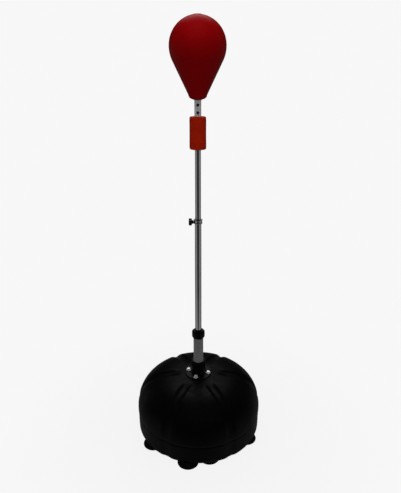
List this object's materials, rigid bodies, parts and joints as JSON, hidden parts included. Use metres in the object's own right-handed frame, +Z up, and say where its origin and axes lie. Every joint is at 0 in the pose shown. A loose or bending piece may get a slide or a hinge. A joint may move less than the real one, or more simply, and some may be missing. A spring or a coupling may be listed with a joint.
{
  "type": "reflex speed bag stand",
  "caption": "Free-standing reflex speed bag: pear-shaped bag on a telescopic pole with a coil spring and a lobed fillable floor base.",
  "frame": {"origin": "on the floor, at the centre of the base", "axes": "+Z up along the pole, -Y towards the front, -X on the side of the clamp knob"},
  "size_m": [0.488, 0.5048, 1.6131],
  "materials": {
    "tank_plastic": "blow-moulded, fine grain",
    "black_plastic": "moulded",
    "black_rubber": "matt",
    "black_steel": "powder-coated black",
    "bright_steel": "zinc-plated",
    "dark_screw": "blackened",
    "spring_steel": "plated coil",
    "brass": "turned",
    "chrome": "polished",
    "red_foam": "covered foam",
    "red_leather": "grained synthetic leather",
    "latex": "moulded"
  },
  "bodies": {
    "base": {"base_tank": "tank_plastic", "suction_cup_1": "black_rubber", "suction_cup_2": "black_rubber", "suction_cup_3": "black_rubber", "suction_cup_4": "black_rubber", "suction_cup_5": "black_rubber", "suction_cup_6": "black_rubber", "suction_cup_7": "black_rubber", "suction_cup_8": "black_rubber", "flange_plate": "black_steel", "lower_spring_cup": "black_steel", "lower_spring_plug": "black_steel", "flange_bolt_1": "bright_steel", "flange_bolt_2": "bright_steel", "flange_bolt_3": "bright_steel", "flange_bolt_4": "bright_steel", "flange_washer_1": "bright_steel", "flange_washer_2": "bright_steel", "flange_washer_3": "bright_steel", "flange_washer_4": "bright_steel", "threaded_insert_1": "brass", "threaded_insert_2": "brass", "threaded_insert_3": "brass", "threaded_insert_4": "brass"},
    "filler_seal": {"filler_gasket": "black_rubber"},
    "filler_cap": {"filler_cap": "black_plastic"},
    "spring": {"coil_spring": "spring_steel"},
    "lower_pole": {"upper_spring_plug": "black_steel", "spring_cap": "black_steel", "lower_tube": "chrome", "clamp_collar": "bright_steel", "guide_bush": "black_plastic"},
    "clamp_washer": {"knob_washer": "black_plastic"},
    "clamp_knob": {"clamp_knob": "black_plastic", "clamp_stud": "bright_steel"},
    "upper_pole": {"upper_tube": "chrome", "tube_glide": "black_plastic", "foam_sleeve": "red_foam", "bag_stem": "chrome", "stem_screw_1": "dark_screw", "stem_screw_2": "dark_screw", "bag_socket": "black_plastic", "bag_cover": "red_leather", "bag_bladder": "latex", "bladder_valve": "black_rubber"}
  },
  "joints": [
    {"name": "pole_lean_x", "type": "hinge", "parent": "base", "child": "spring", "pos_m": [0, 0, 0.342], "axis": [1, 0, 0], "range_deg": [-30, 30], "stiffness_Nm_per_rad": 90, "deforming": ["coil_spring"]},
    {"name": "pole_lean_y", "type": "hinge", "parent": "spring", "child": "lower_pole", "pos_m": [0, 0, 0.342], "axis": [0, 1, 0], "range_deg": [-30, 30], "stiffness_Nm_per_rad": 90},
    {"name": "height_slide", "type": "slide", "parent": "lower_pole", "child": "upper_pole", "axis": [0, 0, 1], "range_m": [-0.24, 0.05]},
    {"name": "stud_travel", "type": "slide", "parent": "lower_pole", "child": "clamp_washer", "axis": [-1, 0, 0], "range_m": [0, 0.004]},
    {"name": "knob_turn", "type": "hinge", "parent": "clamp_washer", "child": "clamp_knob", "pos_m": [0, 0, 0.8712], "axis": [-1, 0, 0], "range_deg": [0, 1080]},
    {"name": "cap_lift", "type": "slide", "parent": "base", "child": "filler_seal", "axis": [0, 0, 1], "range_m": [0, 0.0101]},
    {"name": "cap_turn", "type": "hinge", "parent": "filler_seal", "child": "filler_cap", "pos_m": [0, 0.148, 0.2123], "axis": [0, 0, 1], "range_deg": [0, 900]}
  ],
  "couplings": [
    {"joint": "stud_travel", "follows": "knob_turn", "m_per_rad": 0.00019894},
    {"joint": "cap_lift", "follows": "cap_turn", "m_per_rad": 0.00063662}
  ]
}
